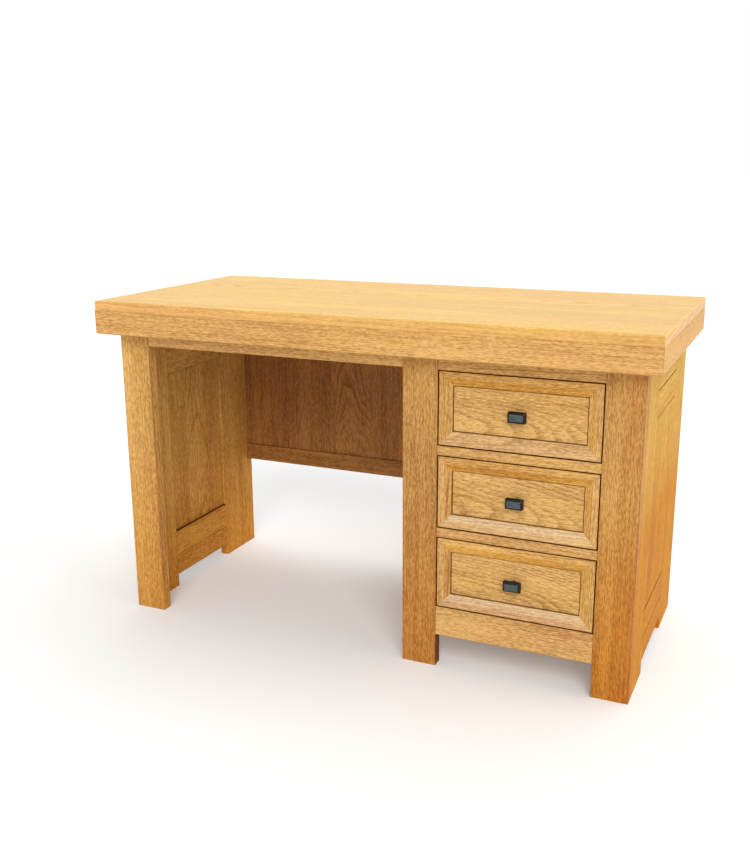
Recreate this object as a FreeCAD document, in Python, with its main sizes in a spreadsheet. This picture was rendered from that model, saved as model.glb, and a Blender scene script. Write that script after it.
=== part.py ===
import FreeCAD, Part
import os
import Sketcher
from types import SimpleNamespace

# A solid oak desk with one drawer pedestal on the right and a kneehole on the left.
# Millimetres. The origin is on the floor below the middle of the top: +X to the right,
# +Y to the back, +Z up. The user sits at -Y and every drawer opens towards -Y.

DIMENSIONS = {
    # the top: a board with a deeper strip under its four edges
    "desk_width": 1300,
    "desk_depth": 600,
    "desk_height": 780,
    "board_thick": 22,
    "strip_tall": 55,
    "strip_wide": 70,
    # how far the top stands over the carcass
    "front_overhang": 46,
    "side_overhang": 33.5,
    "back_overhang": 19,
    # front posts and the rails between them
    "post_wide": 79,
    "post_thick": 27,
    "pedestal_left": 111,
    "top_rail_tall": 30,
    "divider_tall": 21,
    "drawer_open": 162.5,
    "foot_clear": 76.5,
    # gables: two stiles, four rails and a panel that sits nearly flush with them
    "gable_thick": 23,
    "front_stile_wide": 119,
    "rear_stile_wide": 146,
    "gable_foot": 32,
    "gable_bottom_tall": 54.5,
    "gable_lower_tall": 65,
    "gable_upper_tall": 59,
    "gable_top_tall": 68.5,
    "panel_thick": 14,
    "panel_setback": 0.5,
    "panel_tongue": 7,
    "panel_rebate": 5,
    "shadow_gap": 2.2,
    "shadow_deep": 8,
    "fine_gap": 1,
    # backs
    "back_thick": 12,
    "back_inset": 7,
    "back_rail_low": 255,
    "back_rail_tall": 45,
    # drawer runners and guides
    "runner_wide": 74,
    "runner_tall": 21,
    "guide_wide": 14,
    "guide_tall": 12,
    "block_long": 60,
    "block_wide": 13.5,
    "block_tall": 32,
    # drawers
    "drawer_gap": 2.5,
    "drawer_rise": 0.5,
    "front_thick": 16,
    "moulding_wide": 29.5,
    "moulding_thick": 8,
    "moulding_flat": 13.5,
    "moulding_lip": 2.5,
    "quirk_wide": 1.6,
    "quirk_deep": 3,
    "side_thick": 12,
    "side_tall": 150,
    "side_long": 440,
    "tail_wide": 22,
    "tail_flare": 2.5,
    "tail_lap": 10,
    "bottom_thick": 6,
    "bottom_rise": 10,
    "bottom_tongue": 6,
    # knobs and their screws
    "knob_wide": 39,
    "knob_drop": 2.5,
    "knob_tall": 24,
    "knob_thick": 12,
    "knob_bevel": 5,
    "neck_wide": 12,
    "neck_long": 12,
    "rosette_wide": 16,
    "rosette_thick": 2,
    "screw_wide": 3.9,
    "screw_hole": 4,
    "screw_bite": 10,
    "screw_head_wide": 8,
    "screw_head_thick": 2.5,
    # eased edges
    "arris": 0.5,
    "rim_arris": 1.5,
    "top_arris": 2,
}


class Size:
    """A length with both its number and the sheet expression that gives it."""

    def __init__(self, value, text):
        self.value = value
        self.text = text

    def __add__(self, other):
        other = as_size(other)
        return Size(self.value + other.value, f"({self.text} + {other.text})")

    def __sub__(self, other):
        other = as_size(other)
        return Size(self.value - other.value, f"({self.text} - {other.text})")

    def __mul__(self, times):
        return Size(self.value * times, f"{self.text} * {times}")

    def __truediv__(self, parts):
        return Size(self.value / parts, f"{self.text} / {parts}")

    def __neg__(self):
        return Size(-self.value, f"(0 - {self.text})")


def as_size(length):
    """Let a plain number stand beside a Size."""
    return length if isinstance(length, Size) else Size(length, str(length))


doc = FreeCAD.newDocument("computer_desk")
sheet = doc.addObject("Spreadsheet::Sheet", "Dims")
for row, (alias, number) in enumerate(DIMENSIONS.items(), 1):
    sheet.set(f"A{row}", alias)
    sheet.set(f"B{row}", str(number))
    sheet.setAlias(f"B{row}", alias)
doc.recompute()
dim = SimpleNamespace(**{alias: Size(number, f"Dims.{alias}") for alias, number in DIMENSIONS.items()})

# Places that several sub-parts share.
ZERO = Size(0, "0")
NEAR = 0.01
TAIL_COUNT = 4
half_width = dim.desk_width / 2
half_depth = dim.desk_depth / 2
board_under = dim.desk_height - dim.board_thick
top_under = board_under - dim.strip_tall
carcass_side = half_width - dim.side_overhang
carcass_front = dim.front_overhang - half_depth
carcass_back = half_depth - dim.back_overhang
rail_back = carcass_front + dim.post_thick
bay_left = dim.pedestal_left + dim.post_wide
bay_right = carcass_side - dim.post_wide
rail_under = top_under - dim.top_rail_tall
stile_back = rail_back + dim.front_stile_wide
rear_stile_front = carcass_back - dim.rear_stile_wide
partition_face = dim.pedestal_left + dim.gable_thick
gable_face = carcass_side - dim.gable_thick
back_front = carcass_back - dim.back_inset - dim.back_thick
drawer_step = dim.drawer_open + dim.divider_tall
drawer_floors = {
    "top": rail_under - dim.drawer_open,
    "middle": rail_under - dim.drawer_open - drawer_step,
    "bottom": rail_under - dim.drawer_open - drawer_step * 2,
}


# ---------------------------------------------------------------- ways of making a piece


def bind(feature, name, size):
    """Tie one property of a feature to the sheet."""
    feature.setExpression(name, size.text)


def move_to(feature, corner):
    """Tie the place of a feature to the sheet."""
    for axis, size in zip("xyz", corner):
        bind(feature, f"Placement.Base.{axis}", size)


def size_box(feature, low, high):
    """Give a box feature the three sizes between two corners."""
    for name, start, end in zip(("Length", "Width", "Height"), low, high):
        bind(feature, name, end - start)


def any_edge(_box):
    """Ease every edge."""
    return True


def ease(body, feature, size, wanted=any_edge):
    """Chamfer the edges of a feature whose bounding boxes are wanted."""
    doc.recompute()
    edges = enumerate(feature.Shape.Edges, 1)
    chamfer = body.newObject("PartDesign::Chamfer", f"{feature.Name}_eased")
    chamfer.Base = (feature, [f"Edge{number}" for number, edge in edges if wanted(edge.BoundBox)])
    bind(chamfer, "Size", size)


def board(label, low, high, cuts=(), arris=dim.arris, wanted=any_edge):
    """A board between two corners of the desk's frame, with eased edges and boxes cut from it."""
    body = doc.addObject("PartDesign::Body", label)
    blank = body.newObject("PartDesign::AdditiveBox", f"{label}_blank")
    size_box(blank, low, high)
    ease(body, blank, arris, wanted)
    for number, (cut_low, cut_high) in enumerate(cuts):
        groove = body.newObject("PartDesign::SubtractiveBox", f"{label}_cut_{number}")
        size_box(groove, cut_low, cut_high)
        move_to(groove, [cut - start for cut, start in zip(cut_low, low)])
    move_to(body, low)
    return body


def origin_plane(body, role):
    """The body's own plane with this role, such as XY_Plane."""
    return next(plane for plane in body.Origin.OriginFeatures if plane.Role == role)


def polygon_sketch(body, role, corners):
    """A closed outline on one of the body's planes, every corner tied to the sheet."""
    sketch = body.newObject("Sketcher::SketchObject", f"{body.Name}_{role}_outline")
    sketch.AttachmentSupport = (origin_plane(body, role), [""])
    sketch.MapMode = "FlatFace"
    points = [FreeCAD.Vector(across.value, up.value, 0) for across, up in corners]
    for start, end in zip(points, points[1:] + points[:1]):
        sketch.addGeometry(Part.LineSegment(start, end), False)
    for index in range(len(points)):
        following = (index + 1) % len(points)
        sketch.addConstraint(Sketcher.Constraint("Coincident", index, 2, following, 1))
    for index, (across, up) in enumerate(corners):
        tie_corner(sketch, index, "DistanceX", -2, across)
        tie_corner(sketch, index, "DistanceY", -1, up)
    return sketch


def tie_corner(sketch, index, kind, axis, size):
    """Hold the start of one line at a distance from the sketch's origin, or on its axis."""
    if size.value == 0:
        sketch.addConstraint(Sketcher.Constraint("PointOnObject", index, 1, axis))
        return
    number = sketch.addConstraint(Sketcher.Constraint(kind, -1, 1, index, 1, size.value))
    bind(sketch, f"Constraints[{number}]", size)


def circle_sketch(body, role, wide):
    """A circle of one diameter about the origin of one of the body's planes."""
    sketch = body.newObject("Sketcher::SketchObject", f"{body.Name}_{role}_circle")
    sketch.AttachmentSupport = (origin_plane(body, role), [""])
    sketch.MapMode = "FlatFace"
    sketch.addGeometry(Part.Circle(FreeCAD.Vector(), FreeCAD.Vector(0, 0, 1), wide.value / 2), False)
    sketch.addConstraint(Sketcher.Constraint("Coincident", 0, 3, -1, 1))
    number = sketch.addConstraint(Sketcher.Constraint("Diameter", 0, wide.value))
    bind(sketch, f"Constraints[{number}]", wide)
    return sketch


def pad(body, sketch, length, reverse=False):
    """Thicken a sketch by one length."""
    feature = body.newObject("PartDesign::Pad", f"{sketch.Name}_pad")
    feature.Profile = sketch
    bind(feature, "Length", length)
    feature.Reversed = reverse
    return feature


def cut_away(label, blank, tools):
    """What is left of a blank once other pieces are let into it."""
    joint = doc.addObject("Part::Cut", label)
    joint.Base = blank
    joint.Tool = group(f"{label}_tools", tools)
    return joint


def group(label, bodies):
    """Separate solids of one kind, kept together as one sub-part."""
    compound = doc.addObject("Part::Compound", label)
    compound.Links = bodies
    return compound


# ---------------------------------------------------------------- the top


def mitred_strip(label, long_low, corner, along_x):
    """One of the deep strips under the edge of the top, mitred at both ends."""
    body = doc.addObject("PartDesign::Body", label)
    length = dim.desk_width if along_x else dim.desk_depth
    wide = dim.strip_wide
    outer = ZERO if long_low else wide
    inner = wide if long_low else ZERO
    corners = [(ZERO, outer), (length, outer), (length - wide, inner), (wide, inner)]
    if not along_x:
        corners = [(up, across) for across, up in corners]
    strip = pad(body, polygon_sketch(body, "XY_Plane", corners), dim.strip_tall)

    def lower_outer(box):
        """The long lower edge on the outside."""
        return box.ZMax < NEAR and max(box.XLength, box.YLength) > length.value - NEAR

    ease(body, strip, dim.top_arris, lower_outer)
    move_to(body, corner)
    return body


def make_top():
    """The top board, the four strips that deepen its edge, and a batten over the partition."""
    board_low = (-half_width, -half_depth, board_under)
    board_high = (half_width, half_depth, dim.desk_height)
    back_corner = (-half_width, half_depth - dim.strip_wide, top_under)
    right_corner = (half_width - dim.strip_wide, -half_depth, top_under)
    batten_low = (dim.pedestal_left, dim.strip_wide - half_depth, top_under)
    batten_high = (dim.pedestal_left + dim.strip_wide, half_depth - dim.strip_wide, board_under)

    def not_under(box):
        """Every edge but the four on the underside, where the strips are glued flush."""
        return box.ZMax > NEAR

    return [
        board("top_board", board_low, board_high, arris=dim.top_arris, wanted=not_under),
        board("top_batten", batten_low, batten_high),
        mitred_strip("top_strip_front", True, (-half_width, -half_depth, top_under), True),
        mitred_strip("top_strip_back", False, back_corner, True),
        mitred_strip("top_strip_left", True, (-half_width, -half_depth, top_under), False),
        mitred_strip("top_strip_right", False, right_corner, False),
    ]


# ---------------------------------------------------------------- the carcass


def front_rail(label, left, right, low, tall):
    """A rail of the front frame, flush with the posts on both faces."""
    return board(label, (left, carcass_front, low), (right, rail_back, low + tall))


def make_front():
    """Three posts to the floor, the rails over the kneehole and around the drawers."""
    post_lefts = {"left": -carcass_side, "inner": dim.pedestal_left, "right": bay_right}
    posts = [
        board(f"front_post_{name}", (left, carcass_front, ZERO), (left + dim.post_wide, rail_back, top_under))
        for name, left in post_lefts.items()
    ]
    floors = drawer_floors
    bottom_rail_tall = floors["bottom"] - dim.foot_clear
    kneehole_left = dim.post_wide - carcass_side
    divider = dim.divider_tall
    return posts + [
        front_rail("kneehole_apron", kneehole_left, dim.pedestal_left, rail_under, dim.top_rail_tall),
        front_rail("pedestal_top_rail", bay_left, bay_right, rail_under, dim.top_rail_tall),
        front_rail("drawer_divider_upper", bay_left, bay_right, floors["top"] - divider, divider),
        front_rail("drawer_divider_lower", bay_left, bay_right, floors["middle"] - divider, divider),
        front_rail("pedestal_bottom_rail", bay_left, bay_right, dim.foot_clear, bottom_rail_tall),
    ]


def make_gable(side):
    """One end of the desk: stiles to the floor, four rails and a panel whose tongues sit in grooves."""
    right = side == "right"
    low_x = gable_face if right else -carcass_side
    high_x = low_x + dim.gable_thick

    def sunk(near, far):
        """The two x of a layer between two depths below the outer face."""
        return (high_x - far, high_x - near) if right else (low_x + near, low_x + far)

    panel_face = dim.panel_setback
    tongue_face = panel_face + dim.panel_rebate
    panel_inside = panel_face + dim.panel_thick

    bottom_low = dim.gable_foot
    lower_low = bottom_low + dim.gable_bottom_tall
    panel_low = lower_low + dim.gable_lower_tall
    top_low = top_under - dim.gable_top_tall
    upper_low = top_low - dim.gable_upper_tall

    tongue = dim.panel_tongue
    front, back = stile_back - tongue, rear_stile_front + tongue
    low, high = panel_low - tongue, upper_low + tongue

    def layer(depths, y_low, z_low, y_high, z_high):
        """A box in one layer of the gable."""
        start_x, end_x = sunk(*depths)
        return (start_x, y_low, z_low), (end_x, y_high, z_high)

    groove = layer((tongue_face, panel_inside), front, low, back, high)
    rebated = (panel_face, tongue_face)
    gap = dim.shadow_gap
    rebates = [
        layer(rebated, front, low, stile_back, high),
        layer(rebated, rear_stile_front - dim.fine_gap, low, back, high),
        layer(rebated, front, upper_low - gap, back, high),
        layer(rebated, front, low, back, panel_low + gap),
    ]

    def shadow(z_low):
        """The dark slot along the lower edge of a rail."""
        return layer((ZERO, dim.shadow_deep), stile_back, z_low, rear_stile_front, z_low + gap)

    def rail(name, z_low, z_high, cuts):
        """A rail between the two stiles."""
        corners = (low_x, stile_back, z_low), (high_x, rear_stile_front, z_high)
        return board(f"gable_{side}_{name}", *corners, cuts)

    front_corners = (low_x, rail_back, ZERO), (high_x, stile_back, top_under)
    rear_corners = (low_x, rear_stile_front, ZERO), (high_x, carcass_back, top_under)
    panel_corners = layer((panel_face, panel_inside), front, low, back, high)
    return [
        board(f"gable_{side}_front_stile", *front_corners, [groove]),
        board(f"gable_{side}_rear_stile", *rear_corners, [groove]),
        rail("top_rail", top_low, top_under, [shadow(top_low)]),
        rail("upper_rail", upper_low, top_low, [groove]),
        rail("lower_rail", lower_low, panel_low, [groove, shadow(lower_low)]),
        rail("bottom_rail", bottom_low, lower_low, []),
        board(f"gable_{side}_panel", *panel_corners, rebates),
    ]


def make_partition():
    """The wall between the kneehole and the drawers, with a rear leg to the floor."""
    left = dim.pedestal_left
    panel_high = (partition_face, rear_stile_front, top_under)
    leg_high = (partition_face, carcass_back, top_under)
    return [
        board("partition_panel", (left, rail_back, dim.foot_clear), panel_high),
        board("partition_rear_leg", (left, rear_stile_front, ZERO), leg_high),
    ]


def make_backs():
    """The panel behind the knees with its rail, and the panel behind the drawers."""
    back_end = back_front + dim.back_thick
    panel_low = dim.back_rail_low + dim.back_rail_tall
    knee_left = -gable_face
    knee_right = dim.pedestal_left
    rail_front = carcass_back - dim.gable_thick
    rail_low = (knee_left, rail_front, dim.back_rail_low)
    return [
        board("kneehole_back_panel", (knee_left, back_front, panel_low), (knee_right, back_end, top_under)),
        board("kneehole_back_rail", rail_low, (knee_right, carcass_back, panel_low)),
        board(
            "pedestal_back_panel",
            (partition_face, back_front, dim.foot_clear),
            (gable_face, back_end, top_under),
        ),
    ]


def make_runners():
    """Bars that carry the drawers and stop them tipping, and strips that keep them straight."""
    runners = []
    guides = []
    levels = {name: (floor - dim.runner_tall, floor) for name, floor in drawer_floors.items()}
    levels["kicker"] = (rail_under, top_under)
    lefts = {"left": partition_face, "right": gable_face - dim.runner_wide}
    box_side = bay_left + dim.drawer_gap
    box_side_right = bay_right - dim.drawer_gap
    guide_lefts = {
        "left": box_side - dim.guide_wide - dim.drawer_rise,
        "right": box_side_right + dim.drawer_rise,
    }
    for side in ("left", "right"):
        for level, (low, high) in levels.items():
            start = (lefts[side], rail_back, low)
            end = (lefts[side] + dim.runner_wide, back_front, high)
            runners.append(board(f"runner_{level}_{side}", start, end))
        for level, floor in drawer_floors.items():
            start = (guide_lefts[side], rail_back, floor)
            end = (guide_lefts[side] + dim.guide_wide, back_front, floor + dim.guide_tall)
            guides.append(board(f"guide_{level}_{side}", start, end))
    return [group("drawer_runners", runners), group("drawer_guides", guides)]


def make_blocks():
    """Glue blocks that hold the left gable to the strip under the top."""
    blocks = []
    for place, middle in (("front", stile_back), ("middle", ZERO), ("back", rear_stile_front)):
        start = (-gable_face, middle - dim.block_long / 2, top_under - dim.block_tall)
        end = (dim.block_wide - gable_face, middle + dim.block_long / 2, top_under)
        blocks.append(board(f"block_{place}", start, end))
    return [group("glue_blocks", blocks)]


# ---------------------------------------------------------------- the drawers


def moulding_length(label, length, corner, turn):
    """A mitred length of moulding, thick at its outer edge and sloping in to a thin lip."""
    body = doc.addObject("PartDesign::Body", label)
    wide = dim.moulding_wide
    thick = dim.moulding_thick
    plan = [(ZERO, ZERO), (length, ZERO), (length - wide, wide), (wide, wide)]
    pad(body, polygon_sketch(body, "XZ_Plane", plan), thick)
    # On this plane the first coordinate runs along Y, and the moulding's face is at -thick.
    slope = [(-thick, dim.moulding_flat), (-thick, wide), (-dim.moulding_lip, wide)]
    pocket = body.newObject("PartDesign::Pocket", f"{label}_slope")
    pocket.Profile = polygon_sketch(body, "YZ_Plane", slope)
    pocket.Type = "ThroughAll"
    pocket.Reversed = True
    move_to(body, corner)
    body.Placement.Rotation = FreeCAD.Rotation(FreeCAD.Vector(0, 1, 0), turn)
    return body


def make_moulding(name, low, high, back_y):
    """Four mitred lengths that frame a drawer front between two corners (x, z)."""
    across = high[0] - low[0]
    tall = high[1] - low[1]
    label = f"drawer_{name}_moulding"
    places = {
        "bottom": (across, (low[0], back_y, low[1]), 0),
        "right": (tall, (high[0], back_y, low[1]), -90),
        "top": (across, (high[0], back_y, high[1]), 180),
        "left": (tall, (low[0], back_y, high[1]), 90),
    }
    lengths = [moulding_length(f"{label}_{side}", *place) for side, place in places.items()]
    return group(label, lengths)


def make_knob(name, centre):
    """A bevelled rectangular knob on a round neck and rosette, bored from behind for its screw."""
    label = f"drawer_{name}_knob"
    body = doc.addObject("PartDesign::Body", label)
    pad(body, circle_sketch(body, "XZ_Plane", dim.rosette_wide), dim.rosette_thick)
    neck_sketch = circle_sketch(body, "XZ_Plane", dim.neck_wide)
    pad(body, neck_sketch, dim.neck_long)
    head = body.newObject("PartDesign::AdditiveBox", f"{label}_head")
    head_depth = dim.neck_long + dim.knob_thick
    size_box(head, (ZERO, ZERO, ZERO), (dim.knob_wide, dim.knob_thick, dim.knob_tall))
    move_to(head, (-dim.knob_wide / 2, -head_depth, -dim.knob_tall / 2))

    def around_face(box):
        """The four edges of the front face."""
        return box.YMax < NEAR - head_depth.value

    ease(body, head, dim.knob_bevel, around_face)
    bore = body.newObject("PartDesign::Pocket", f"{label}_bore")
    bore.Profile = circle_sketch(body, "XZ_Plane", dim.screw_hole)
    bore.Reversed = True
    bind(bore, "Length", dim.screw_bite)
    move_to(body, centre)
    return body


def make_screw(name, centre):
    """The screw that holds a knob from inside the drawer, its head on the drawer front."""
    label = f"drawer_{name}_knob_screw"
    shank_long = dim.front_thick + dim.screw_bite - dim.arris
    body = doc.addObject("PartDesign::Body", label)
    sketch = circle_sketch(body, "XZ_Plane", dim.screw_wide)
    pad(body, sketch, shank_long)
    pad(body, circle_sketch(body, "XZ_Plane", dim.screw_head_wide), dim.screw_head_thick, reverse=True)
    move_to(body, (centre[0], centre[1] + dim.front_thick, centre[2]))
    return body


def tails(root, tip, rising):
    """The dovetail tails along one end of a drawer side, narrow at the root and wide at the tip."""
    pitch = dim.side_tall / TAIL_COUNT
    half = dim.tail_wide / 2
    corners = []
    for index in range(TAIL_COUNT):
        middle = pitch * (index + 0.5)
        low, high = middle - half, middle + half
        corners += [(root, low), (tip, low - dim.tail_flare), (tip, high + dim.tail_flare), (root, high)]
    return corners if rising else corners[::-1]


def make_side(label, corner, slot):
    """A drawer side with tails at both ends and a groove for the drawer bottom."""
    body = doc.addObject("PartDesign::Body", label)
    end = dim.side_long + dim.tail_lap
    back_root = end - dim.side_thick
    rim = dim.side_tall
    corners = [(dim.tail_lap, ZERO), (back_root, ZERO)] + tails(back_root, end, True)
    corners += [(back_root, rim), (dim.tail_lap, rim)] + tails(dim.tail_lap, ZERO, False)
    blank = pad(body, polygon_sketch(body, "YZ_Plane", corners), dim.side_thick)

    def along_rim(box):
        """The two long edges at the top, which hands touch."""
        return box.ZMin > rim.value - NEAR and box.YLength > dim.side_long.value / 2

    ease(body, blank, dim.rim_arris, along_rim)
    groove = body.newObject("PartDesign::SubtractiveBox", f"{label}_groove")
    size_box(groove, *slot)
    move_to(groove, [low - start for low, start in zip(slot[0], corner)])
    move_to(body, corner)
    return body


def quirks(low, high):
    """The narrow grooves that set off the flat panel from the moulding around it."""
    edge = dim.moulding_wide
    wide = dim.quirk_wide
    face_y, bottom_y = low[1], low[1] + dim.quirk_deep
    left, right = low[0] + edge, high[0] - edge
    under, over = low[2] + edge, high[2] - edge
    upright = [(left, left + wide), (right - wide, right)]
    level = [(under, under + wide), (over - wide, over)]
    grooves = [((start, face_y, under), (end, bottom_y, over)) for start, end in upright]
    return grooves + [((left, face_y, start), (right, bottom_y, end)) for start, end in level]


def make_drawer(name, floor):
    """One drawer: a framed front with its knob, and a dovetailed box with its bottom in grooves."""
    front_low = (bay_left + dim.drawer_gap, floor + dim.drawer_gap)
    front_high = (bay_right - dim.drawer_gap, floor + dim.drawer_open - dim.drawer_gap)
    face_y = carcass_front + dim.moulding_thick
    front_end = face_y + dim.front_thick
    left, right = front_low[0], front_high[0]
    base = floor + dim.drawer_rise
    rim = base + dim.side_tall
    box_end = front_end + dim.side_long
    back_start = box_end - dim.side_thick
    bottom_low = base + dim.bottom_rise
    bottom_high = bottom_low + dim.bottom_thick
    tongue = dim.bottom_tongue
    inner_left = left + dim.side_thick
    inner_right = right - dim.side_thick
    slot = (
        (inner_left - tongue, front_end - tongue, bottom_low),
        (inner_right + tongue, box_end, bottom_high),
    )
    centre = ((bay_left + bay_right) / 2, face_y, floor + dim.drawer_open / 2 - dim.knob_drop)
    sides = [
        make_side(f"drawer_{name}_side_{side}", (low_x, front_end - dim.tail_lap, base), slot)
        for side, low_x in (("left", left), ("right", inner_right))
    ]
    front_corners = (left, face_y, front_low[1]), (right, front_end, front_high[1])
    front = board(f"drawer_{name}_front_blank", *front_corners, [slot] + quirks(*front_corners))
    hole = front.newObject("PartDesign::Pocket", f"drawer_{name}_front_hole")
    hole.Profile = knob_hole_sketch(front, centre, front_low)
    hole.Type = "ThroughAll"
    back = board(f"drawer_{name}_back_blank", (left, back_start, bottom_high), (right, box_end, rim))
    return sides + [
        cut_away(f"drawer_{name}_front", front, sides),
        cut_away(f"drawer_{name}_back", back, sides),
        make_moulding(name, front_low, front_high, face_y),
        board(f"drawer_{name}_bottom", *slot, arris=dim.arris / 4),
        make_knob(name, centre),
        make_screw(name, centre),
    ]


def knob_hole_sketch(front, centre, front_low):
    """The circle for the knob's screw, in the middle of a drawer front."""
    sketch = front.newObject("Sketcher::SketchObject", f"{front.Name}_hole_outline")
    sketch.AttachmentSupport = (origin_plane(front, "XZ_Plane"), [""])
    sketch.MapMode = "FlatFace"
    across = centre[0] - front_low[0]
    up = centre[2] - front_low[1]
    middle = FreeCAD.Vector(across.value, up.value, 0)
    sketch.addGeometry(Part.Circle(middle, FreeCAD.Vector(0, 0, 1), dim.screw_hole.value / 2), False)
    for kind, end, size in (("DistanceX", 3, across), ("DistanceY", 3, up)):
        number = sketch.addConstraint(Sketcher.Constraint(kind, -1, 1, 0, end, size.value))
        bind(sketch, f"Constraints[{number}]", size)
    number = sketch.addConstraint(Sketcher.Constraint("Diameter", 0, dim.screw_hole.value))
    bind(sketch, f"Constraints[{number}]", dim.screw_hole)
    return sketch


# ---------------------------------------------------------------- the whole desk


def make_desk():
    """Every sub-part of the desk, each with the label that names its file."""
    sub_parts = make_top() + make_front() + make_gable("left") + make_gable("right")
    sub_parts += make_partition() + make_backs() + make_runners() + make_blocks()
    for name, floor in drawer_floors.items():
        sub_parts += make_drawer(name, floor)
    return sub_parts


def check_document(sub_parts):
    """Stop before writing anything if a feature failed or a shape isn't a sound solid."""
    failed = [item.Label for item in doc.Objects if {"Invalid", "Error"} & set(item.State)]
    unsound = [item.Label for item in sub_parts if item.Shape.isNull() or not item.Shape.isValid()]
    if failed or unsound:
        raise RuntimeError(f"failed features: {failed}; unsound shapes: {unsound}")


desk_parts = make_desk()
doc.recompute()
check_document(desk_parts)
os.makedirs("parts", exist_ok=True)
for item in desk_parts:
    item.Shape.exportStep(f"parts/{item.Label}.step")
    print(f"{item.Label}: {len(item.Shape.Solids)} solid(s), {item.Shape.Volume / 1000:.1f} cm3")
print(f"{len(desk_parts)} sub-parts")
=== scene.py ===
import math

import bmesh
import bpy
from mathutils import Matrix, Vector


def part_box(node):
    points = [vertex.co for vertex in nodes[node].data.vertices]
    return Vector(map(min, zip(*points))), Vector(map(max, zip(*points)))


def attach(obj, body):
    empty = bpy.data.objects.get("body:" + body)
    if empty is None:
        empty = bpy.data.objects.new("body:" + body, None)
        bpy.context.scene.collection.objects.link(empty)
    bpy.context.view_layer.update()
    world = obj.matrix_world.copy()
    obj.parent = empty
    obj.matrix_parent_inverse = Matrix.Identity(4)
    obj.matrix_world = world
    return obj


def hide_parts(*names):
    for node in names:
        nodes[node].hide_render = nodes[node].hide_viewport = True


# The looks of an oak pedestal desk: waxed oak on every board, framed drawer fronts with
# mitred mouldings, and blackened knobs. Metres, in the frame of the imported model.

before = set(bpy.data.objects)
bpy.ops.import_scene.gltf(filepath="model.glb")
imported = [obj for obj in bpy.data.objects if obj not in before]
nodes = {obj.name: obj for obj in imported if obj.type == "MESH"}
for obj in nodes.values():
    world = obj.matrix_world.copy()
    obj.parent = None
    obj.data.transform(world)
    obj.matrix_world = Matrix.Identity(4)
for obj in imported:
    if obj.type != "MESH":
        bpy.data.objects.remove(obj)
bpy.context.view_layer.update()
MM = 0.001
DRAWERS = ("top", "middle", "bottom")


# ---------------------------------------------------------------- camera, light and floor

# Metres for the place, radians for the turns, millimetres for the lens and the sensor.
CAMERA_PLACE = Vector((0.9192, -2.1947, 1.0883))
CAMERA_YAW = 0.4227
CAMERA_PITCH = -0.2525
CAMERA_ROLL = 0.0052
CAMERA_LENS = 43.05
CAMERA_SENSOR = 36

# How bright the white walls are as a light, against 1 as they are seen or reflected.
ROOM_LIGHT = 0.4
# The direction towards each lamp, its strength and its spread in degrees.
SUNS = {
    "key": ((0.45, -0.9, 0.7), 1.85, 35),
    "overhead": ((0.1, 0.35, 1.0), 1.05, 50),
    "right": ((1.0, 0.1, 0.5), 0.85, 50),
}

FLOOR_REACH = 40
FLOOR_COLOUR = (0.82, 0.82, 0.81)
FLOOR_GLOW = 0.14


def make_camera():
    """The camera where the photographer stood."""
    camera = bpy.data.cameras.new("camera")
    camera.lens = CAMERA_LENS
    camera.sensor_width = CAMERA_SENSOR
    camera.sensor_fit = "AUTO"
    holder = bpy.data.objects.new("camera", camera)
    yaw = Matrix.Rotation(CAMERA_YAW, 4, "Z")
    pitch = Matrix.Rotation(CAMERA_PITCH + math.pi / 2, 4, "X")
    roll = Matrix.Rotation(-CAMERA_ROLL, 4, "Z")
    holder.matrix_world = Matrix.Translation(CAMERA_PLACE) @ (yaw @ pitch) @ roll
    bpy.context.scene.collection.objects.link(holder)
    bpy.context.scene.camera = holder


def make_sun(name, towards_light, strength, spread):
    """An even, soft light from one direction, the same all over the floor."""
    lamp = bpy.data.lights.new(name, "SUN")
    lamp.energy = strength
    lamp.angle = math.radians(spread)
    holder = bpy.data.objects.new(name, lamp)
    holder.rotation_mode = "QUATERNION"
    holder.rotation_quaternion = Vector(towards_light).to_track_quat("Z", "Y")
    bpy.context.scene.collection.objects.link(holder)


def make_light():
    """A soft key from the front right, light from overhead and on the right, and white walls.

    The walls show white to the eye and in reflections, but throw less light on the desk.
    """
    world = bpy.data.worlds.new("studio")
    world.use_nodes = True
    tree = Tree(world.node_tree)
    walls = world.node_tree.nodes["Background"]
    rays = tree.add("ShaderNodeLightPath").outputs
    seen = tree.math("MAXIMUM", rays["Is Camera Ray"], rays["Is Glossy Ray"])
    strength = tree.math("MULTIPLY_ADD", seen, 1 - ROOM_LIGHT, ROOM_LIGHT)
    tree.put(walls.inputs["Color"], (1, 1, 1))
    tree.put(walls.inputs["Strength"], strength)
    bpy.context.scene.world = world
    for name, settings in SUNS.items():
        make_sun(name, *settings)
    bpy.context.scene.view_settings.view_transform = "Standard"


def make_floor():
    """A wide pale floor."""
    mesh = bpy.data.meshes.new("floor")
    signs = ((-1, -1), (1, -1), (1, 1), (-1, 1))
    corners = [(FLOOR_REACH * across, FLOOR_REACH * back, 0) for across, back in signs]
    mesh.from_pydata(corners, [], [(0, 1, 2, 3)])
    floor = bpy.data.objects.new("floor", mesh)
    bpy.context.scene.collection.objects.link(floor)
    tree = Tree.of_material("pale_floor")
    glow = {"Emission_Color": (1, 1, 1), "Emission_Strength": FLOOR_GLOW}
    tree.shader(base=FLOOR_COLOUR, roughness=0.8, **glow)
    mesh.materials.append(tree.material)


# ---------------------------------------------------------------- nodes in short


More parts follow.
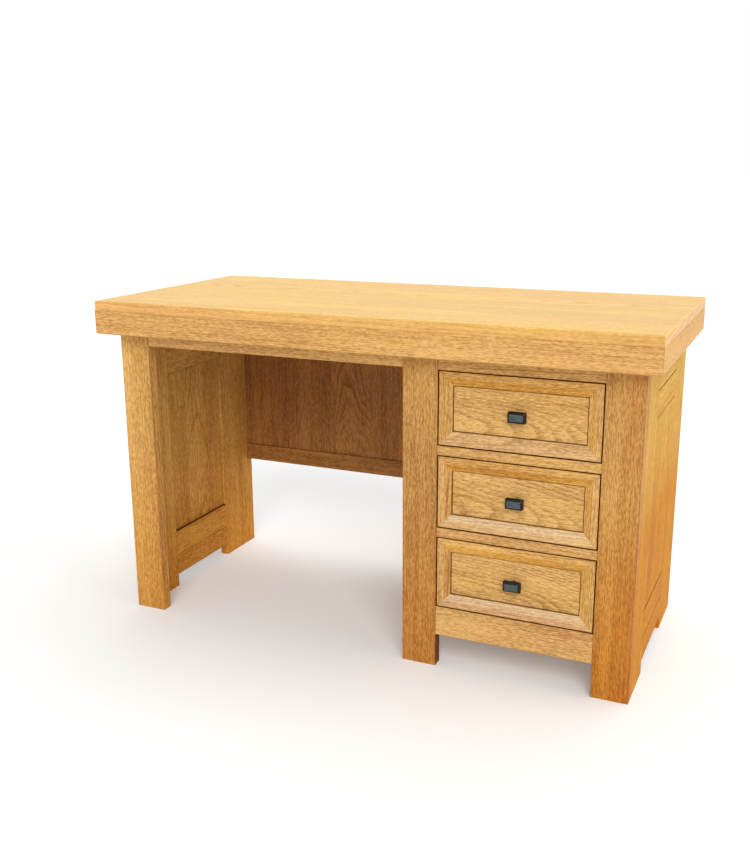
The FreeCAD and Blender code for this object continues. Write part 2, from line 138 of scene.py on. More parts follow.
class Tree:
    """A node tree and short ways to add to it. Any value may be a socket or plain numbers."""

    def __init__(self, tree, material=None):
        self.tree = tree
        self.material = material

    @classmethod
    def of_material(cls, name):
        """An empty tree in a new material."""
        material = bpy.data.materials.new(name)
        material.use_nodes = True
        material.node_tree.nodes.clear()
        return cls(material.node_tree, material)

    def put(self, socket, value):
        """Link a socket, or set its number, colour or vector."""
        if isinstance(value, bpy.types.NodeSocket):
            self.tree.links.new(value, socket)
        elif socket.type == "RGBA" and len(value) == 3:
            socket.default_value = (*value, 1)
        else:
            socket.default_value = value

    def add(self, kind, values=(), **settings):
        """A node with settings, and values for its inputs by name or place."""
        node = self.tree.nodes.new(kind)
        for name, setting in settings.items():
            setattr(node, name, setting)
        pairs = values.items() if isinstance(values, dict) else enumerate(values)
        for key, value in pairs:
            self.put(node.inputs[key], value)
        return node

    def math(self, operation, *values, clamp=False):
        """Arithmetic on numbers."""
        node = self.add("ShaderNodeMath", values, operation=operation, use_clamp=clamp)
        return node.outputs[0]

    def vector(self, operation, *values):
        """Arithmetic on vectors."""
        return self.add("ShaderNodeVectorMath", values, operation=operation).outputs[0]

    def dot(self, one, other):
        """The dot product of two vectors."""
        node = self.add("ShaderNodeVectorMath", (one, other), operation="DOT_PRODUCT")
        return node.outputs["Value"]

    def parts(self, vector):
        """The three numbers of a vector."""
        return self.add("ShaderNodeSeparateXYZ", (vector,)).outputs

    def join(self, *values):
        """A vector from three numbers."""
        return self.add("ShaderNodeCombineXYZ", values).outputs[0]

    def noise(self, vector, detail=2.0, roughness=0.5):
        """Smooth noise from 0 to 1 about a middle of 0.5, one cell per unit of its vector."""
        values = {"Vector": vector, "Scale": 1.0, "Detail": detail, "Roughness": roughness}
        return self.add("ShaderNodeTexNoise", values, noise_dimensions="3D").outputs["Fac"]

    def random(self, number):
        """A random value and a random colour for each number."""
        node = self.add("ShaderNodeTexWhiteNoise", {"W": number}, noise_dimensions="1D")
        return node.outputs["Value"], node.outputs["Color"]

    def ramp(self, value, low, high, start=0.0, end=1.0):
        """Go smoothly from start to end while the value goes from low to high."""
        values = (value, low, high, start, end)
        return self.add("ShaderNodeMapRange", values, interpolation_type="SMOOTHSTEP").outputs[0]

    def mix(self, share, one, other, blend="MIX"):
        """Blend a share of the other colour into the first."""
        settings = {"data_type": "RGBA", "blend_type": blend, "clamp_factor": True}
        return self.add("ShaderNodeMix", {0: share, 6: one, 7: other}, **settings).outputs[2]

    def tint(self, share, colour, by):
        """Multiply a colour by another, as far as the share says."""
        return self.mix(share, colour, by, "MULTIPLY")

    def shader(self, base, roughness, height=None, relief=0.0, **fixed):
        """A principled surface; fixed values go straight onto its own sockets."""
        values = {"Base Color": base, "Roughness": roughness}
        if height is not None:
            bump = {"Strength": 0.6, "Distance": relief, "Height": height}
            values["Normal"] = self.add("ShaderNodeBump", bump).outputs[0]
        values.update({name.replace("_", " "): value for name, value in fixed.items()})
        surface = self.add("ShaderNodeBsdfPrincipled", values)
        self.add("ShaderNodeOutputMaterial", (surface.outputs[0],))


# ---------------------------------------------------------------- oak

GROUP_INPUTS = {
    "Point": "Vector",
    "Half": "Vector",
    "End": "Float",
    "Lip": "Float",
    "Shade": "Float",
    "Above floor": "Float",
    "Seed": "Float",
    "Pith across": "Float",
    "Pith depth": "Float",
    "Lean": "Float",
    "Ring": "Float",
    "Wave": "Float",
    "Stave": "Float",
    "Stave start": "Float",
    "Stave contrast": "Float",
    "Stave pink": "Float",
    "Stave red": "Float",
    "Warmth": "Float",
    "Gloss": "Float",
    "Contrast": "Float",
    "Light": "Color",
    "Dark": "Color",
}
GROUP_OUTPUTS = {"Color": "Color", "Roughness": "Float", "Height": "Float"}

# Noise drawn out along the grain: its cells per metre along and across the grain, its detail
# and roughness, and a shift that sets it apart from the others.
STREAKS = {
    "slow": (2.2, 6, 1.0, 0.5, 0.0),
    "quick": (9, 26, 2.0, 0.5, 5.0),
    "broad": (1.3, 18, 2.0, 0.5, 11.0),
    "medium": (6, 150, 3.0, 0.6, 17.0),
    "fine": (20, 520, 2.0, 0.6, 23.0),
    "pores": (75, 1900, 1.0, 0.5, 29.0),
    "flecks": (90, 390, 2.0, 0.65, 31.0),
    "cloud": (3.0, 9, 2.0, 0.5, 37.0),
    "hue": (2.0, 11, 2.0, 0.5, 43.0),
}
# What each of these does to the colour of the wood, as a factor on red, green and blue.
PINK_PATCH = (0.97, 0.86, 0.95)
YELLOW_PATCH = (1.0, 1.0, 0.72)
RED_STAVE = (0.9, 0.75, 0.72)
LIPPING = (0.9, 0.8, 1.0)
# Painted warm bounce light from the floor.
FLOOR_BOUNCE_TINT = (0.87, 0.6, 0.2)
END_GRAIN = (0.62, 0.5, 0.4)
RUBBED_EDGE = (0.62, 0.46, 0.34)
# Painted shade on faces in narrow gaps and grooves.
SHADED_GAP = (0.28, 0.19, 0.11)

GLUE_COLOUR = (0.35, 0.2, 0.1)
GLUE_WIDTH = 0.0006
EDGE_WIDTH = 0.0035
# Painted warm bounce light from the floor grows from this height down to the floor.
WARM_BELOW = 0.62


def glue_line(tree, given, place):
    """1 on the joint between two staves and 0 beside it."""
    from_middle = tree.math("ABSOLUTE", tree.math("SUBTRACT", tree.math("FRACT", place), 0.5))
    to_joint = tree.math("MULTIPLY", tree.math("SUBTRACT", 0.5, from_middle), given["Stave"])
    return tree.ramp(to_joint, 0, GLUE_WIDTH, 1, 0)


def early_wood(tree, given, along, across, through, rise, bend):
    """The porous early wood of each growth ring, strongest where the ring starts.

    The rings lie about a pith that leans through the board, so that flat faces show arches.
    """
    beside = tree.math("ADD", tree.math("SUBTRACT", across, given["Pith across"]), bend)
    depth = tree.math("ADD", through, given["Pith depth"])
    depth = tree.math("MULTIPLY_ADD", along, given["Lean"], depth)
    depth = tree.math("ADD", tree.math("MULTIPLY_ADD", rise, 0.02, depth), bend)
    square = tree.math("ADD", tree.math("POWER", beside, 2), tree.math("POWER", depth, 2))
    rings = tree.math("DIVIDE", tree.math("SQRT", square), given["Ring"])
    inside = tree.math("FRACT", rings)
    ring_tone, _ = tree.random(tree.math("ADD", tree.math("FLOOR", rings), given["Seed"]))
    early = tree.math("POWER", tree.math("SUBTRACT", 1.0, inside), 1.6)
    early = tree.math("MULTIPLY", early, tree.ramp(inside, 0, 0.15))
    return tree.math("MULTIPLY", early, tree.math("MULTIPLY_ADD", ring_tone, 0.75, 0.25))


def rubbed_edge(tree, given, wander):
    """1 along the board's edges, fading to 0 a few millimetres in, with a wandering border."""
    inset = tree.vector("SUBTRACT", given["Half"], tree.vector("ABSOLUTE", given["Point"]))
    one, two, three = tree.parts(inset)
    smaller = tree.math("MINIMUM", one, two)
    larger = tree.math("MAXIMUM", one, two)
    from_edge = tree.math("MAXIMUM", smaller, tree.math("MINIMUM", larger, three))
    return tree.ramp(tree.math("MULTIPLY_ADD", wander, 0.006, from_edge), 0.0, EDGE_WIDTH, 1, 0)


def oak_group():
    """Sawn oak in a board's own space: x along the grain, y across the face, z through it."""
    group = bpy.data.node_groups.new("sawn_oak", "ShaderNodeTree")
    for sockets, in_out in ((GROUP_INPUTS, "INPUT"), (GROUP_OUTPUTS, "OUTPUT")):
        for name, kind in sockets.items():
            group.interface.new_socket(name, in_out=in_out, socket_type=f"NodeSocket{kind}")
    tree = Tree(group)
    given = tree.add("NodeGroupInput").outputs
    along, across, through = tree.parts(given["Point"])

    # Glued staves: each has its own place in the log and its own tone.
    place = tree.math("DIVIDE", tree.math("ADD", across, given["Stave start"]), given["Stave"])
    stave = tree.math("FLOOR", place)
    stave_tone, stave_mix = tree.random(tree.math("MULTIPLY_ADD", given["Seed"], 13.7, stave))
    shift, drift, rise = tree.parts(stave_mix)
    glue = glue_line(tree, given, place)
    along = tree.math("MULTIPLY_ADD", drift, 4.0, along)
    across = tree.math("MULTIPLY_ADD", tree.math("SUBTRACT", shift, 0.5), 0.12, across)
    seed_shift = tree.math("MULTIPLY", given["Seed"], 3.17)

    def streaks(name):
        """Noise about a middle of 0, drawn out along the grain."""
        per_metre_along, per_metre_across, detail, roughness, shifted = STREAKS[name]
        point = tree.join(
            tree.math("MULTIPLY_ADD", along, per_metre_along, seed_shift),
            tree.math("MULTIPLY_ADD", across, per_metre_across, shifted),
            tree.math("MULTIPLY", through, per_metre_across),
        )
        return tree.math("SUBTRACT", tree.noise(point, detail, roughness), 0.5)

    # Streaks at several scales. Pores are short dashes that crowd into the early wood, and
    # flecks are the broader dashes that the eye sees from across a room.
    quick = streaks("quick")
    bend = tree.math("MULTIPLY_ADD", quick, 0.16, streaks("slow"))
    bend = tree.math("MULTIPLY", given["Wave"], bend)
    early = early_wood(tree, given, along, across, through, rise, bend)
    cloud = streaks("cloud")
    broad = streaks("broad")
    medium = streaks("medium")
    fine = streaks("fine")
    fleck = tree.ramp(streaks("flecks"), -0.15, 0.15, -0.5, 0.5)
    pores = tree.ramp(streaks("pores"), 0.08, 0.2)
    pores = tree.math("MULTIPLY", pores, tree.math("MULTIPLY_ADD", early, 0.75, 0.25))

    # The tone goes from dark at 0 to light at 1.
    tone = tree.math("MULTIPLY", early, -0.75)
    for share, part in ((0.85, broad), (0.8, medium), (1.0, fine), (0.58, fleck), (0.5, cloud)):
        tone = tree.math("MULTIPLY_ADD", part, share, tone)
    tone = tree.math("MULTIPLY_ADD", pores, -0.5, tone)
    tone = tree.math("MULTIPLY_ADD", tone, given["Contrast"], 0.7)
    stave_shade = tree.math("SUBTRACT", stave_tone, 0.5)
    stave_shade = tree.math("MULTIPLY", stave_shade, given["Stave contrast"])
    tone = tree.math("ADD", tone, stave_shade, clamp=True)
    colour = tree.mix(tone, given["Dark"], given["Light"])

    # Patches lean to pink or to yellow, and a stave may be pinker or redder than its neighbour.
    hue = streaks("hue")
    stave_pink = tree.math("MULTIPLY", rise, given["Stave pink"])
    pink = tree.math("MULTIPLY_ADD", hue, 2.2, stave_pink, clamp=True)
    yellow = tree.math("MULTIPLY", hue, -2.2, clamp=True)
    colour = tree.tint(pink, colour, PINK_PATCH)
    colour = tree.tint(yellow, colour, YELLOW_PATCH)
    every_other = tree.math("MULTIPLY", tree.math("MODULO", stave, 2.0), given["Stave red"])
    patches = tree.math("MULTIPLY_ADD", cloud, 3.0, 0.75)
    red = tree.math("MULTIPLY", every_other, patches, clamp=True)
    colour = tree.tint(red, colour, RED_STAVE)
    colour = tree.mix(tree.math("MULTIPLY", glue, 0.3), colour, GLUE_COLOUR)

    # Lippings are a shade deeper than the field, and painted warm bounce light from the floor
    # grows towards the floor.
    colour = tree.tint(given["Lip"], colour, LIPPING)
    low = tree.ramp(given["Above floor"], 0.0, WARM_BELOW, 1, 0)
    colour = tree.tint(tree.math("MULTIPLY", low, given["Warmth"]), colour, FLOOR_BOUNCE_TINT)

    # End grain drinks more finish, edges are rubbed, and painted shade darkens the faces in gaps
    # and grooves.
    colour = tree.tint(tree.math("MULTIPLY", given["End"], 0.55), colour, END_GRAIN)
    edge = rubbed_edge(tree, given, quick)
    colour = tree.tint(tree.math("MULTIPLY", edge, 0.3), colour, RUBBED_EDGE)
    colour = tree.tint(given["Shade"], colour, SHADED_GAP)

    rough = tree.math("MULTIPLY_ADD", pores, 0.3, tree.math("SUBTRACT", 0.5, given["Gloss"]))
    rough = tree.math("MULTIPLY_ADD", early, 0.12, rough)
    rough = tree.math("MULTIPLY_ADD", broad, 0.16, rough)
    height = tree.math("MULTIPLY_ADD", early, -0.35, tree.math("MULTIPLY", fine, 0.5))
    height = tree.math("MULTIPLY_ADD", pores, -1.0, height)
    height = tree.math("MULTIPLY_ADD", glue, -0.5, height)
    tree.add("NodeGroupOutput", (colour, rough, height))
    return group


OAK = oak_group()

# How a board was sawn from its log: where the pith lies from the board's middle, how far it
# leans along the board, how wide the rings are and how much they wander.
SAWN = {
    "arched": {
        "pith_across": 0.004,
        "pith_depth": 0.030,
        "lean": 0.05,
        "ring": 0.0030,
        "wave": 0.03,
    },
    "rift": {
        "pith_across": 0.10,
        "pith_depth": 0.09,
        "lean": 0.02,
        "ring": 0.0026,
        "wave": 0.014,
    },
    "quarter": {
        "pith_across": 0.16,
        "pith_depth": 0.01,
        "lean": 0.008,
        "ring": 0.0024,
        "wave": 0.010,
    },
}
# The light and the dark colour of each kind of oak, in linear light.
TONES = {
    "post": ((0.67, 0.37, 0.11), (0.30, 0.13, 0.03)),
    "edge": ((0.78, 0.45, 0.15), (0.40, 0.19, 0.05)),
    "pale": ((0.92, 0.60, 0.16), (0.60, 0.33, 0.065)),
    "front": ((0.77, 0.455, 0.16), (0.36, 0.175, 0.045)),
    "amber": ((0.73, 0.395, 0.075), (0.38, 0.15, 0.018)),
    "gold": ((0.80, 0.445, 0.125), (0.42, 0.185, 0.035)),
    "blush": ((0.79, 0.505, 0.225), (0.42, 0.225, 0.08)),
    "ash": ((0.77, 0.55, 0.30), (0.46, 0.28, 0.13)),
    "wheat": ((0.78, 0.465, 0.145), (0.38, 0.18, 0.036)),
    "side": ((0.74, 0.45, 0.09), (0.42, 0.20, 0.028)),
    # Painted shade: a darker copy of the oak for the panels round the kneehole and at the back.
    "honey": ((0.46, 0.21, 0.058), (0.19, 0.07, 0.017)),
    "shaded": ((0.20, 0.09, 0.025), (0.10, 0.04, 0.01)),
    "raw": ((0.72, 0.48, 0.24), (0.46, 0.26, 0.10)),
}
# A board's looks unless it says otherwise. One stave is wider than any board on the desk.
PLAIN_LOOKS = {
    "stave": 10.0,
    "stave_start": 5.0,
    "stave_contrast": 0.0,
    "stave_pink": 0.0,
    "stave_red": 0.0,
    "warmth": 0.0,
    "gloss": 0.0,
    "contrast": 1.0,
}

# How far below a board's face its grooves begin and end, and how dark the painted shade in them
# is.
QUIRK_FROM = (0.0004, 0.0010)
QUIRK_TO = (0.006, 0.007)
QUIRK_SHADE = 0.7
LEFT, RIGHT = (-1, 0, 0), (1, 0, 0)
DOWN, UP = (0, 0, -1), (0, 0, 1)


def board_axes(low, high, grain):
    """The board's own axes: along the grain, across its face and through it."""
    size = high - low
    order = sorted(range(3), key=lambda axis: -size[axis])
    if grain is not None:
        order.remove("XYZ".index(grain))
        order.insert(0, "XYZ".index(grain))
    return order


def oak(
    name,
    low,
    high,
    sawn,
    tones,
    seed,
    grain=None,
    specular=0.18,
    lipped=False,
    gap_sides=(),
    quirk_side=0,
    **looks,
):
    """A material for one board between two corners, its grain along the longest side unless said.

    A lipped board has strips of long grain round its edges. Gap sides are the directions that
    face a narrow gap; faces toward them get painted shade. The quirk side is 1 or -1 where the
    face on that side of the board has grooves, and the grooves get painted shade. The looks are
    inputs of the oak group, in small letters.
    """
    order = board_axes(low, high, grain)
    middle = (low + high) / 2
    half = (high - low) / 2
    tree = Tree.of_material(name)
    place = tree.add("ShaderNodeTexCoord").outputs
    steps = tree.parts(tree.vector("SUBTRACT", place["Object"], tuple(middle)))
    facing = tree.parts(tree.vector("ABSOLUTE", place["Normal"]))
    # Painted shade on faces toward narrow gaps and in the grooves under the face.
    shade = 0.0
    for direction in gap_sides:
        toward = tree.ramp(tree.dot(place["Normal"], direction), 0.6, 0.8)
        shade = tree.math("MAXIMUM", shade, toward)
    if quirk_side:
        beneath = tree.math("MULTIPLY_ADD", steps[order[2]], -quirk_side, half[order[2]])
        groove = tree.ramp(beneath, *QUIRK_FROM, 0, QUIRK_SHADE)
        groove = tree.math("MULTIPLY", groove, tree.ramp(beneath, *QUIRK_TO, 1, 0))
        shade = tree.math("MAXIMUM", shade, groove)
    end = tree.ramp(facing[order[0]], 0.6, 0.8)
    point = tree.join(*(steps[axis] for axis in order))
    lip_share = 0.0
    if lipped:
        lip_share = tree.ramp(facing[order[2]], 0.4, 0.6, 1, 0)
        lip = tree.join(*(steps[axis] for axis in (order[1], order[2], order[0])))
        values = {0: end, 4: point, 5: lip}
        point = tree.add("ShaderNodeMix", values, data_type="VECTOR").outputs[1]
        end = 0.0
    light, dark = TONES[tones]
    values = {
        "Point": point,
        "Half": [half[axis] for axis in order],
        "End": end,
        "Lip": lip_share,
        "Shade": shade,
        "Above floor": tree.parts(place["Object"])[2],
        "Seed": float(seed),
        "Light": light,
        "Dark": dark,
    }
    for look, value in {**PLAIN_LOOKS, **SAWN[sawn], **looks}.items():
        values[look.replace("_", " ").capitalize()] = value
    wood = tree.add("ShaderNodeGroup", values, node_tree=OAK).outputs
    tree.shader(
        base=wood["Color"],
        roughness=wood["Roughness"],
        height=wood["Height"],
        relief=0.00035,
        IOR=1.42,
        Specular_IOR_Level=specular,
    )
    return tree.material


def cover(node, material):
    """Give a CAD node one material all over."""
    mesh = nodes[node].data
    mesh.materials.clear()
    mesh.materials.append(material)


def cover_board(node, sawn, tones, seed, **options):
    """Give a CAD node the oak of a board of its own size."""
    cover(node, oak(f"oak_{node}", *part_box(node), sawn, tones, seed, **options))


# ---------------------------------------------------------------- which board is cut how

# The edge strips of the top: the direction of the grain and its contrast.
TOP_STRIPS = {"front": ("X", 0.9), "back": ("X", 0.9), "left": ("Y", 0.7), "right": ("Y", 0.7)}
# The front posts: their tones and looks; the looks paint a warm bounce light from the floor and,
# on the inner and right posts, shade on the sides that face a gap.
POSTS = {
    "left": ("wheat", {"stave_red": 0.3, "warmth": 0.6}),
    "inner": ("post", {"stave_red": 0.1, "warmth": 0.65, "gap_sides": (RIGHT,)}),
    "right": ("post", {"stave_red": 1.1, "warmth": 0.95, "gap_sides": (LEFT,)}),
}
# The rails between the posts, each with the sides that face a gap, which get painted shade.
FRONT_RAILS = {
    "kneehole_apron": (),
    "pedestal_top_rail": (UP,),
    "drawer_divider_upper": (UP,),
    "drawer_divider_lower": (UP,),
    "pedestal_bottom_rail": (UP,),
}
# The gables: the first seed, which side of the panel is outside, the tones and the strength of
# the painted warm bounce light from the floor.
GABLES = {"left": (40, -1, "wheat", 0.8), "right": (60, 1, "side", 2.3)}
GABLE_RAILS = ("top_rail", "upper_rail", "lower_rail", "bottom_rail")
# The grain of each drawer front.
FRONT_GRAIN = {
    "top": {"pith_across": -0.05, "pith_depth": 0.04, "lean": 0.07, "wave": 0.02},
    "middle": {"pith_across": -0.075, "pith_depth": 0.03, "lean": 0.05, "wave": 0.02},
    "bottom": {"pith_across": -0.09, "pith_depth": 0.04, "lean": 0.07, "wave": 0.03},
}


def cover_top():
    """Pale glued staves on top, with plain strips under the edges."""
    glued = {"stave": 0.094, "stave_start": 5.03, "stave_contrast": 0.14, "stave_pink": 0.35}
    waxed = {"contrast": 0.7, "gloss": 0.14, "specular": 0.28, "lipped": True}
    cover_board("top_board", "rift", "pale", 3, grain="X", **waxed, **glued)
    for seed, (side, (grain, contrast)) in enumerate(TOP_STRIPS.items(), 11):
        cover_board(f"top_strip_{side}", "rift", "edge", seed, grain=grain, contrast=contrast)
    cover_board("top_batten", "quarter", "raw", 15, grain="Y")


def cover_front():
    """Posts with upright grain, rails with level grain."""
    split = {"grain": "Z", "stave": 0.08, "stave_start": 5.04, "stave_contrast": 0.06}
    for seed, (place, (tones, looks)) in enumerate(POSTS.items(), 21):
        cover_board(f"front_post_{place}", "quarter", tones, seed, **split, **looks)
    for seed, (rail, gap_sides) in enumerate(FRONT_RAILS.items(), 31):
        cover_board(rail, "rift", "front", seed, grain="X", gap_sides=gap_sides)


def cover_gables():
    """Stiles with upright grain, rails with level grain, and a glued panel."""
    glued = {"stave": 0.08, "stave_contrast": 0.12, "stave_pink": 0.3}
    for side, (first_seed, outer, tones, warmth) in GABLES.items():
        gable = f"gable_{side}_"
        looks = {"warmth": warmth, "specular": 0.03}
        # Painted shade on the rails' faces toward their gaps and in the panel's grooves; painted
        # warm floor bounce on all.
        level = {"grain": "Y", "gap_sides": (DOWN, UP), **looks}
        panel = {"grain": "Z", "quirk_side": outer, **looks, **glued}
        for seed, stile in enumerate(("front_stile", "rear_stile"), first_seed):
            cover_board(gable + stile, "rift", tones, seed, grain="Z", **looks)
        for seed, rail in enumerate(GABLE_RAILS, first_seed + 4):
            cover_board(gable + rail, "rift", tones, seed, **level)
        cover_board(gable + "panel", "arched", tones, first_seed + 9, **panel)


def cover_inside():
    """Panels round the kneehole and at the back in a darker copy of the oak that paints their
    shade, and raw bars out of sight.
    """
    glued = {"stave": 0.105, "stave_contrast": 0.2, "stave_pink": 0.4}
    cover_board("partition_panel", "arched", "honey", 81, grain="Z", **glued)
    cover_board("partition_rear_leg", "rift", "honey", 82, grain="Z")
    cover_board("kneehole_back_panel", "arched", "honey", 83, grain="Z", **glued)
    cover_board("kneehole_back_rail", "rift", "honey", 84, grain="X")
    cover_board("pedestal_back_panel", "arched", "honey", 85, grain="Z", **glued)
    for seed, bars in enumerate(("drawer_runners", "drawer_guides", "glue_blocks"), 86):
        cover_board(bars, "quarter", "raw", seed, grain="Y")


def cover_drawers():
    """Arched grain on the fronts; the boxes behind are of plainer, unstained oak."""
    glued = {"stave": 0.12, "stave_contrast": 0.15}
    for seed, (name, looks) in enumerate(FRONT_GRAIN.items(), 91):
        part = f"drawer_{name}_"
        # Painted shade in the grooves round each front's panel.
        cover_board(part + "front", "arched", "front", seed, grain="X", quirk_side=-1, **looks)
        cover_board(part + "side_left", "rift", "raw", seed + 10, grain="Y")
        cover_board(part + "side_right", "rift", "raw", seed + 20, grain="Y")
        cover_board(part + "back", "rift", "raw", seed + 30, grain="X")
        cover_board(part + "bottom", "arched", "raw", seed + 40, grain="X", **glued)


# ---------------------------------------------------------------- drawer mouldings

# The section of a moulding, in millimetres: its outer edge is rounded, the outer part is flat,
# and past the knee it slopes to a lip with a small shadow gap under it. Each point is
# (distance in from the outer edge, how far it is proud of the board).
EDGE_RADIUS = 0.8
THICKNESS = 8.0
KNEE = [(12.6, 8.0), (13.3, 7.93), (13.9, 7.7)]
SLOPE_RUN = 14.7
SLOPE_FALL = 4.8
SLOPE_SAG = 0.25
SLOPE_STEPS = 6
LIP = [(29.1, 2.75), (29.4, 2.4), (29.5, 1.9), (29.5, 1.0), (27.5, 0.9), (27.5, 0)]
# Where the flat's material ends, and below which height a strip counts as inside a gap and is
# painted dark as shade.
FLAT_ENDS = 13.8
GAP_BELOW = 2.6
MITRE_GAP = 0.12

# The tones that differ from drawer to drawer: of the lower slope, a painted highlight, and of the
# left flat, with painted shade from the top's overhang on the top drawer.
LOWER_SLOPE_HIGHLIGHTS = {"top": "blush", "middle": "ash", "bottom": "ash"}
LEFT_FLAT_SHADES = {"top": "post", "middle": "front", "bottom": "front"}


def new_object(name, mesh, body):
    """Link a mesh as a piece that rides on a body."""
    piece = bpy.data.objects.new(name, mesh)
    bpy.context.scene.collection.objects.link(piece)
    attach(piece, body)
    return piece


def moulding_profile():
    """The points of the section, from the outer edge inwards."""
    turns = [math.pi / 2 * step / 4 for step in range(5)]
    outer = []
    for turn in turns:
        inward = EDGE_RADIUS - EDGE_RADIUS * math.cos(turn)
        outer.append((inward, THICKNESS - EDGE_RADIUS + EDGE_RADIUS * math.sin(turn)))
    start_in, start_proud = KNEE[-1]
    slope = []
    for step in range(1, SLOPE_STEPS + 1):
        share = step / SLOPE_STEPS
        dip = SLOPE_SAG * math.sin(math.pi * share)
        slope.append((start_in + SLOPE_RUN * share, start_proud - SLOPE_FALL * share - dip))
    return [(0, 0)] + outer + KNEE + slope + LIP


def moulding_surface(start, end):
    """Which material a strip of the section takes: 0 on the flat, 1 on the slope, 2 in a gap,
    painted dark as shade.
    """
    if min(start[1], end[1]) < GAP_BELOW:
        return 2
    return 1 if start[0] > FLAT_ENDS else 0


def moulding_mesh(name, length):
    """A mitred length along +X from the origin, its outer edge on X and facing -Y."""
    build = bmesh.new()
    profile = moulding_profile()
    rows = []
    for inward, proud in profile:
        start = inward * MM + MITRE_GAP * MM
        ends = (start, length - start)
        rows.append([build.verts.new((place, -proud * MM, inward * MM)) for place in ends])
    following = profile[1:] + profile[:1]
    for one, other, *points in zip(rows, rows[1:] + rows[:1], profile, following):
        strip = build.faces.new((one[0], one[1], other[1], other[0]))
        strip.material_index = moulding_surface(*points)
    build.faces.new([row[0] for row in reversed(rows)])
    build.faces.new([row[1] for row in rows])
    bmesh.ops.recalc_face_normals(build, faces=build.faces)
    mesh = bpy.data.meshes.new(name)
    build.to_mesh(mesh)
    build.free()
    return mesh


def mesh_corners(mesh):
    """The low and the high corner of a mesh."""
    points = [vertex.co for vertex in mesh.vertices]
    low = Vector([min(point[axis] for point in points) for axis in range(3)])
    high = Vector([max(point[axis] for point in points) for axis in range(3)])
    return low, high


def make_mouldings():
    """Four mitred lengths round each drawer front, each cut from its own stick."""
    for number, name in enumerate(DRAWERS):
        node = f"drawer_{name}_moulding"
        low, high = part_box(node)
        face = high.y
        across = high.x - low.x
        tall = high.z - low.z
        # Each side's length, first corner, turn in degrees, grain, and tones of flat and slope.
        # The tones are lit and shaded copies of the oak, painting each length's light and shade:
        # a painted highlight on the lower length, painted shade on the top slope.
        sides = {
            "bottom": (across, (low.x, face, low.z), 0, "X", ("blush", LOWER_SLOPE_HIGHLIGHTS[name])),
            "right": (tall, (high.x, face, low.z), -90, "Z", ("front", "gold")),
            "top": (across, (high.x, face, high.z), 180, "X", ("wheat", "amber")),
            "left": (tall, (low.x, face, high.z), 90, "Z", (LEFT_FLAT_SHADES[name], "post")),
        }
        for seed, (side, settings) in enumerate(sides.items(), 140 + 4 * number):
            length, corner, degrees, grain, tones = settings
            label = f"{node}_{side}"
            mesh = moulding_mesh(label, length)
            turn = Matrix.Rotation(math.radians(degrees), 4, "Y")
            mesh.transform(Matrix.Translation(corner) @ turn)
            board = (*mesh_corners(mesh), "rift")
            for surface, tone in zip(("flat", "slope", "gap"), (*tones, "shaded")):
                material = oak(f"oak_{label}_{surface}", *board, tone, seed, grain=grain)
                mesh.materials.append(material)
            piece = new_object(label, mesh, f"drawer_{name}")
            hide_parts(node)


# ---------------------------------------------------------------- knobs and screws

# The block of a knob, in millimetres: distance out from the drawer front, width, height and
# corner radius.
KNOB_BLOCK = [
    (12.0, 33, 18, 2),
    (12.2, 36, 21, 3),
    (12.9, 38.2, 23.2, 3.2),
    (13.9, 39, 24, 3.4),
    (18.2, 39, 24, 3.4),
    (19.0, 38.6, 23.6, 3.2),
    (19.6, 37.6, 22.6, 2.8),
    (22.9, 31, 16.6, 2.0),
    (23.4, 29.8, 15.4, 1.8),
    (23.7, 28.6, 14.2, 1.6),
    (23.9, 24, 10, 1.5),
    (24.0, 14, 4.5, 1.3),
]
# The turned rosette and neck behind it, in millimetres: distance out and radius.
KNOB_NECK = [
    (0, 7.8),
    (0.6, 8.0),
    (1.4, 7.9),
    (2.0, 7.2),
    (2.3, 6.6),
    (2.9, 6.0),
    (4.5, 5.3),
    (8, 5.0),
    (10.5, 5.4),
    (11.6, 6.4),
    (12.4, 7.6),
]
SHARP_FROM = math.radians(50)


def blackened_metal():
    """Near-black metal with fine pitting, its front face rubbed and given a painted blue-grey
    reflection.
    """
    tree = Tree.of_material("blackened_metal")
    place = tree.add("ShaderNodeTexCoord").outputs
    cloud = tree.noise(tree.vector("MULTIPLY", place["Object"], (110, 110, 190)), 3, 0.6)
    pits = tree.noise(tree.vector("MULTIPLY", place["Object"], (1400, 1400, 1400)), 2)
    # The forward face: rubbed, and lighter and bluer as a painted reflection of the bright room.
    front = tree.ramp(tree.dot(place["Normal"], (0, -1, 0)), 0.88, 0.985)
    rub_and_sheen = tree.math("MULTIPLY", front, tree.ramp(cloud, 0.3, 0.62, 0.45, 1))
    colour = tree.mix(rub_and_sheen, (0.010, 0.007, 0.005), (0.075, 0.10, 0.105))
    rough = tree.math("MULTIPLY_ADD", cloud, 0.2, 0.3)
    tree.shader(colour, rough, height=pits, relief=0.00008, Metallic=0.3, Specular_IOR_Level=0.3)
    return tree.material


def steel():
    """Zinc-plated screws, lightly scratched."""
    tree = Tree.of_material("steel")
    place = tree.add("ShaderNodeTexCoord").outputs["Object"]
    scratch = tree.noise(tree.vector("MULTIPLY", place, (900, 3000, 3000)), 2)
    colour = tree.mix(scratch, (0.42, 0.42, 0.4), (0.62, 0.61, 0.58))
    rough = tree.math("MULTIPLY_ADD", scratch, 0.2, 0.25)
    tree.shader(colour, rough, height=scratch, relief=0.00004, Metallic=1.0)
    return tree.material


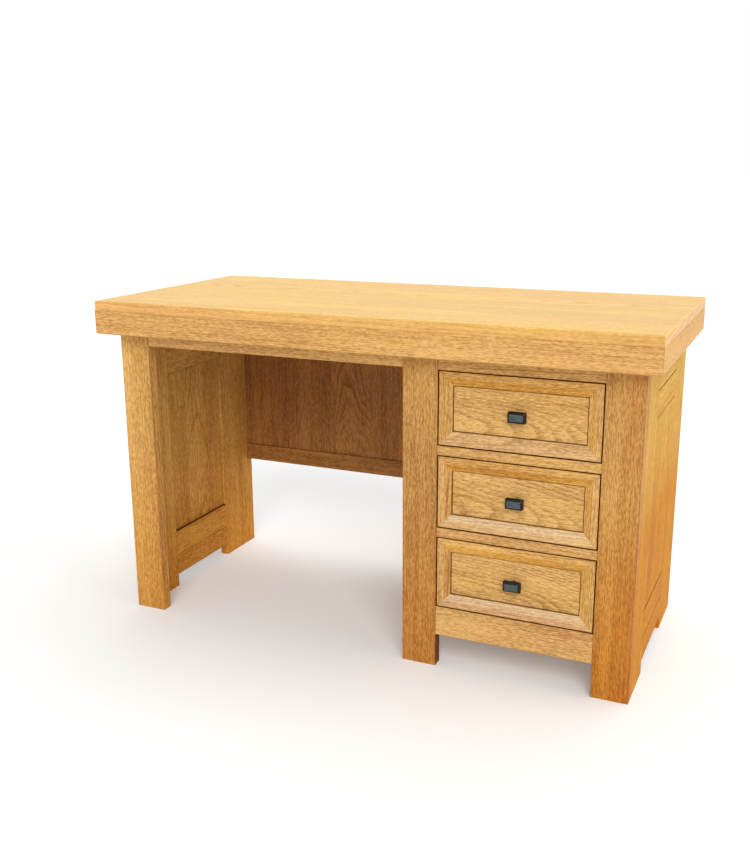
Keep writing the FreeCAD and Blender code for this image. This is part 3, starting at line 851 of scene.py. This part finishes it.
def rounded_rectangle(wide, tall, radius, steps=6):
    """Corners of a rectangle with round corners, anticlockwise about its middle."""
    outline = []
    for quarter in range(4):
        across = wide / 2 - radius if quarter in (0, 3) else radius - wide / 2
        up = tall / 2 - radius if quarter in (0, 1) else radius - tall / 2
        for step in range(steps + 1):
            turn = math.pi / 2 * (quarter + step / steps)
            outline.append((across + radius * math.cos(turn), up + radius * math.sin(turn)))
    return outline


def circle(radius, count=40):
    """Points round a circle, anticlockwise about its middle."""
    turns = [2 * math.pi * index / count for index in range(count)]
    return [(radius * math.cos(turn), radius * math.sin(turn)) for turn in turns]


def loft(build, sections):
    """Join closed outlines that have equally many points, and close both ends."""
    rings = [[build.verts.new(point) for point in section] for section in sections]
    for one, other in zip(rings, rings[1:]):
        for index in range(len(one)):
            following = (index + 1) % len(one)
            build.faces.new((one[index], one[following], other[following], other[index]))
    build.faces.new(list(reversed(rings[0])))
    build.faces.new(rings[-1])


def knob_mesh(name, middle, base):
    """A bevelled block with softened edges on a waisted neck and a thin rosette."""

    def placed(outline, out):
        """An outline set in front of the drawer, so many millimetres out."""
        return [(middle.x + across, base - out * MM, middle.z + up) for across, up in outline]

    block = []
    for out, *sizes in KNOB_BLOCK:
        block.append(placed(rounded_rectangle(*(size * MM for size in sizes)), out))
    neck = [placed(circle(radius * MM), out) for out, radius in KNOB_NECK]
    build = bmesh.new()
    loft(build, block)
    loft(build, neck)
    bmesh.ops.recalc_face_normals(build, faces=build.faces)
    mesh = bpy.data.meshes.new(name)
    build.to_mesh(mesh)
    build.free()
    for polygon in mesh.polygons:
        polygon.use_smooth = True
    mesh.set_sharp_from_angle(angle=SHARP_FROM)
    return mesh


def make_knobs():
    """A shaped knob in place of each plain one, and steel on the screws."""
    knob_material = blackened_metal()
    screw_material = steel()
    for name in DRAWERS:
        node = f"drawer_{name}_knob"
        low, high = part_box(node)
        mesh = knob_mesh(f"{node}_shaped", (low + high) / 2, high.y)
        mesh.materials.append(knob_material)
        piece = new_object(f"{node}_shaped", mesh, f"drawer_{name}")
        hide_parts(node)
        cover(f"{node}_screw", screw_material)


# ---------------------------------------------------------------- the whole desk

make_camera()
make_light()
make_floor()
cover_top()
cover_front()
cover_gables()
cover_inside()
cover_drawers()
make_mouldings()
make_knobs()

bpy.context.view_layer.update()
